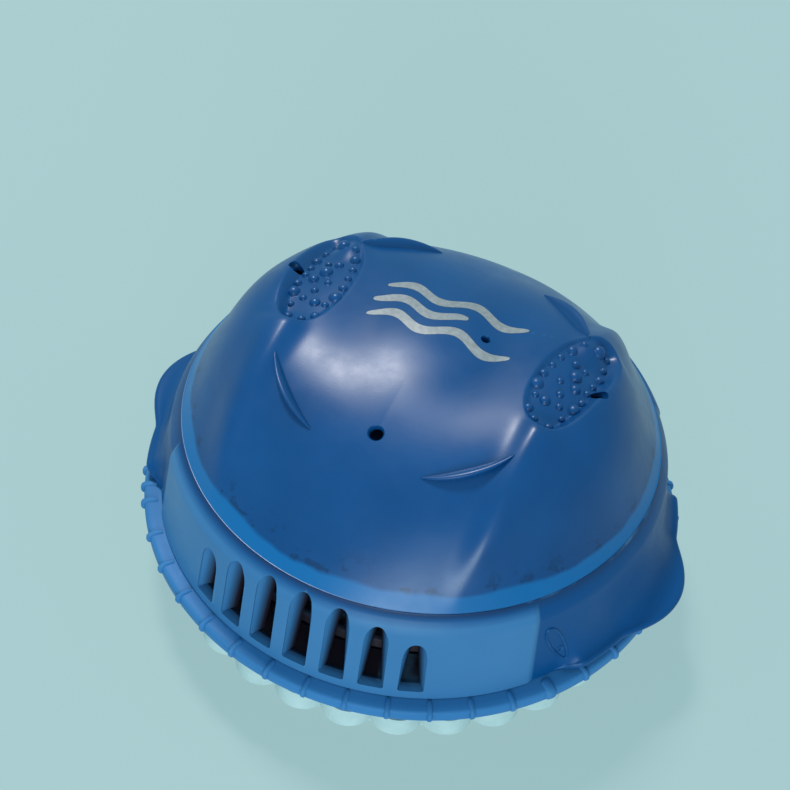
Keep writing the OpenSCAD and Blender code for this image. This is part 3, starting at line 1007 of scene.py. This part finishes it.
MATERIALS = {
    # The third colour of dome_blue is painted light: the brighter blue below the tide line.
    "dome_blue": tide_plastic("dome_blue", (0.0006, 0.050, 0.178), (0.0012, 0.062, 0.213),
                              (0.001, 0.120, 0.340)),
    # skirt_blue: the paler second colour is painted light on the slotted faces, and the slot
    # colour is painted shade inside the slots.
    "skirt_blue": skirt_plastic("skirt_blue", (0.0005, 0.062, 0.210), (0.050, 0.180, 0.385),
                                SLOT_PAINTED_SHADE),
    "ring_blue": ring_plastic("ring_blue", (0.036, 0.165, 0.390), (0.046, 0.190, 0.440),
                              SLOT_PAINTED_SHADE),
    "plain_blue": moulded("plain_blue", (0.0035, 0.055, 0.185), (0.005, 0.068, 0.215), 0.38),
    "inner_blue": moulded("inner_blue", (0.004, 0.014, 0.034), (0.005, 0.017, 0.040), 0.5,
                          worn=(0.008, 0.024, 0.055), specular=0.25),
    "cartridge_grey": milky("cartridge_grey"),
    "sleeve_white": moulded("sleeve_white", (0.55, 0.60, 0.62), (0.66, 0.70, 0.72), 0.4,
                            worn=(0.8, 0.82, 0.82)),
    "foam": foam("foam"),
    "seal_rubber": rubbery("seal_rubber"),
    "steel": steel("steel"),
    "tablet": chalky("tablet", (0.70, 0.70, 0.66), (0.86, 0.86, 0.82), 1400.0),
    "mineral": chalky("mineral", (0.30, 0.31, 0.28), (0.66, 0.67, 0.60), 420.0),
    "screen": mesh_screen("screen"),
    "silver_ink": silver_ink("silver_ink"),
}


def dress(obj, material):
    obj.data.materials.clear()
    obj.data.materials.append(MATERIALS[material])
    return obj


# ---------------------------------------------------------------- assembly


def add_pieces():
    dome = dress(build_dome(), "dome_blue")
    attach(dome, "holder")
    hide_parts("dome_shell")
    skirt = dress(build_skirt(), "skirt_blue")
    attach(skirt, "holder")
    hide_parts("slotted_skirt", "skirt_floor", "seam_ledge", "slot_fins")
    fins = dress(build_fins(), "skirt_blue")
    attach(fins, "holder")
    marks = dress(build_lock_marks(), "skirt_blue")
    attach(marks, "holder")
    for sign in (1, -1):
        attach(dress(pad_nubs(sign), "dome_blue"), "holder")
    blades = [crescent(s, b) for s in (1, -1) for b in (1, -1)]
    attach(dress(joined("crescent_blades", blades, 60), "dome_blue"), "holder")
    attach(dress(build_emblem(), "silver_ink"), "holder")
    ring = dress(build_ring(), "ring_blue")
    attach(ring, "twist_ring")
    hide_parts("lock_ring")


CAD_LOOKS = {
    "guide_tube": ("inner_blue", 0.4),
    "float_tray": ("inner_blue", 0.3),
    "float_ring": ("foam", 0.8),
    "chlorine_body": ("cartridge_grey", 0.5),
    "chlorine_cap": ("cartridge_grey", 0.4),
    "coupling_seal": ("seal_rubber", 0.0),
    "dose_dial": ("cartridge_grey", 0.9),
    "dial_rim": ("cartridge_grey", 1.8),
    "dosing_sleeve": ("sleeve_white", 0.3),
    "tablet_grid": ("sleeve_white", 0.2),
    "dial_screw": ("steel", 0.2),
    "dial_seal": ("seal_rubber", 0.0),
    "click_spring": ("steel", 0.1),
    "tablet_lower": ("tablet", 0.5),
    "tablet_middle": ("tablet", 0.5),
    "tablet_upper": ("tablet", 0.5),
    "mineral_body": ("plain_blue", 0.4),
    "mineral_cap": ("plain_blue", 0.5),
    "mineral_mesh": ("screen", 0.0),
    "mineral_media": ("mineral", 0.0),
    "mineral_sleeve": ("inner_blue", 0.3),
}


def dress_cad():
    """Materials and softened edges for the CAD nodes that stay in view."""
    for name, (material, bevel) in CAD_LOOKS.items():
        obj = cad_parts[name]
        obj.data.materials.clear()
        obj.data.materials.append(MATERIALS[material])
        if bevel:
            mod = obj.modifiers.new("soft_edges", "BEVEL")
            mod.width = bevel * MM
            mod.segments = 3
            mod.limit_method = "ANGLE"
            mod.angle_limit = math.radians(40)


# ---------------------------------------------------------------- studio

VIEW_AZIMUTH, VIEW_ELEVATION = math.radians(20), math.radians(49.4)
VIEW_ROLL = math.radians(8.5)
VIEW_DISTANCE = 0.64
LENS = 97.2
RIM_OFFSET = (0.0082, -0.0449)


def add_camera():
    """Camera above the front, aimed so that the ring sits below the middle of the picture."""
    data = bpy.data.cameras.new("camera")
    data.lens = LENS
    data.sensor_width = 36
    cam = bpy.data.objects.new("camera", data)
    bpy.context.scene.collection.objects.link(cam)
    a, e = VIEW_AZIMUTH, VIEW_ELEVATION
    back = Vector((math.sin(a) * math.cos(e), -math.cos(a) * math.cos(e), math.sin(e)))
    cam.location = Vector((0, 0, RIM_Z * MM)) + back * VIEW_DISTANCE
    turn = (-back).to_track_quat("-Z", "Y").to_matrix().to_4x4()
    roll = Matrix.Rotation(VIEW_ROLL, 4, "Z")
    aim = Vector((RIM_OFFSET[0], RIM_OFFSET[1], -1)).rotation_difference(Vector((0, 0, -1)))
    cam.matrix_world = Matrix.Translation(cam.location) @ turn @ roll @ aim.to_matrix().to_4x4()
    bpy.context.scene.camera = cam


def add_light(name, place, target, size, power, colour):
    data = bpy.data.lights.new(name, "AREA")
    data.shape = "DISK"
    data.size = size
    data.energy = power
    data.color = colour
    lamp = bpy.data.objects.new(name, data)
    lamp.location = place
    lamp.rotation_euler = (Vector(target) - Vector(place)).to_track_quat("-Z", "Y").to_euler()
    bpy.context.scene.collection.objects.link(lamp)


def add_studio():
    reach = 4000
    corners = [(x * reach, y * reach, -0.2) for x, y in ((-1, -1), (1, -1), (1, 1), (-1, 1))]
    floor = make_mesh("floor", corners, [(0, 1, 2, 3)])
    m = Nodes("floor_paint")
    m.link(m.ramp(m.noise(1.5, 2), [(0.3, (0.10, 0.12, 0.12)), (0.7, (0.12, 0.14, 0.14))]),
           m.bsdf.inputs["Base Color"])
    m.bsdf.inputs["Emission Color"].default_value = (0.62, 0.97, 1.0, 1)
    m.bsdf.inputs["Emission Strength"].default_value = 0.46
    m.bsdf.inputs["Roughness"].default_value = 0.9
    m.bsdf.inputs["Specular IOR Level"].default_value = 0.1
    floor.data.materials.append(m.mat)
    add_light("key", (-0.86, 0.66, 2.02), (0, 0, 0.05), 0.5, 36, (1.0, 0.97, 0.93))
    add_light("front_fill", (0.7, -1.9, 0.45), (0, 0, 0.03), 1.1, 28, (0.80, 0.95, 1.0))
    world = bpy.data.worlds.new("studio")
    world.use_nodes = True
    background = world.node_tree.nodes["Background"]
    background.inputs["Color"].default_value = (0.48, 0.90, 1.0, 1)
    background.inputs["Strength"].default_value = 0.55
    bpy.context.scene.world = world


add_pieces()
dress_cad()
add_camera()
add_studio()
bpy.context.scene.view_settings.view_transform = "Standard"
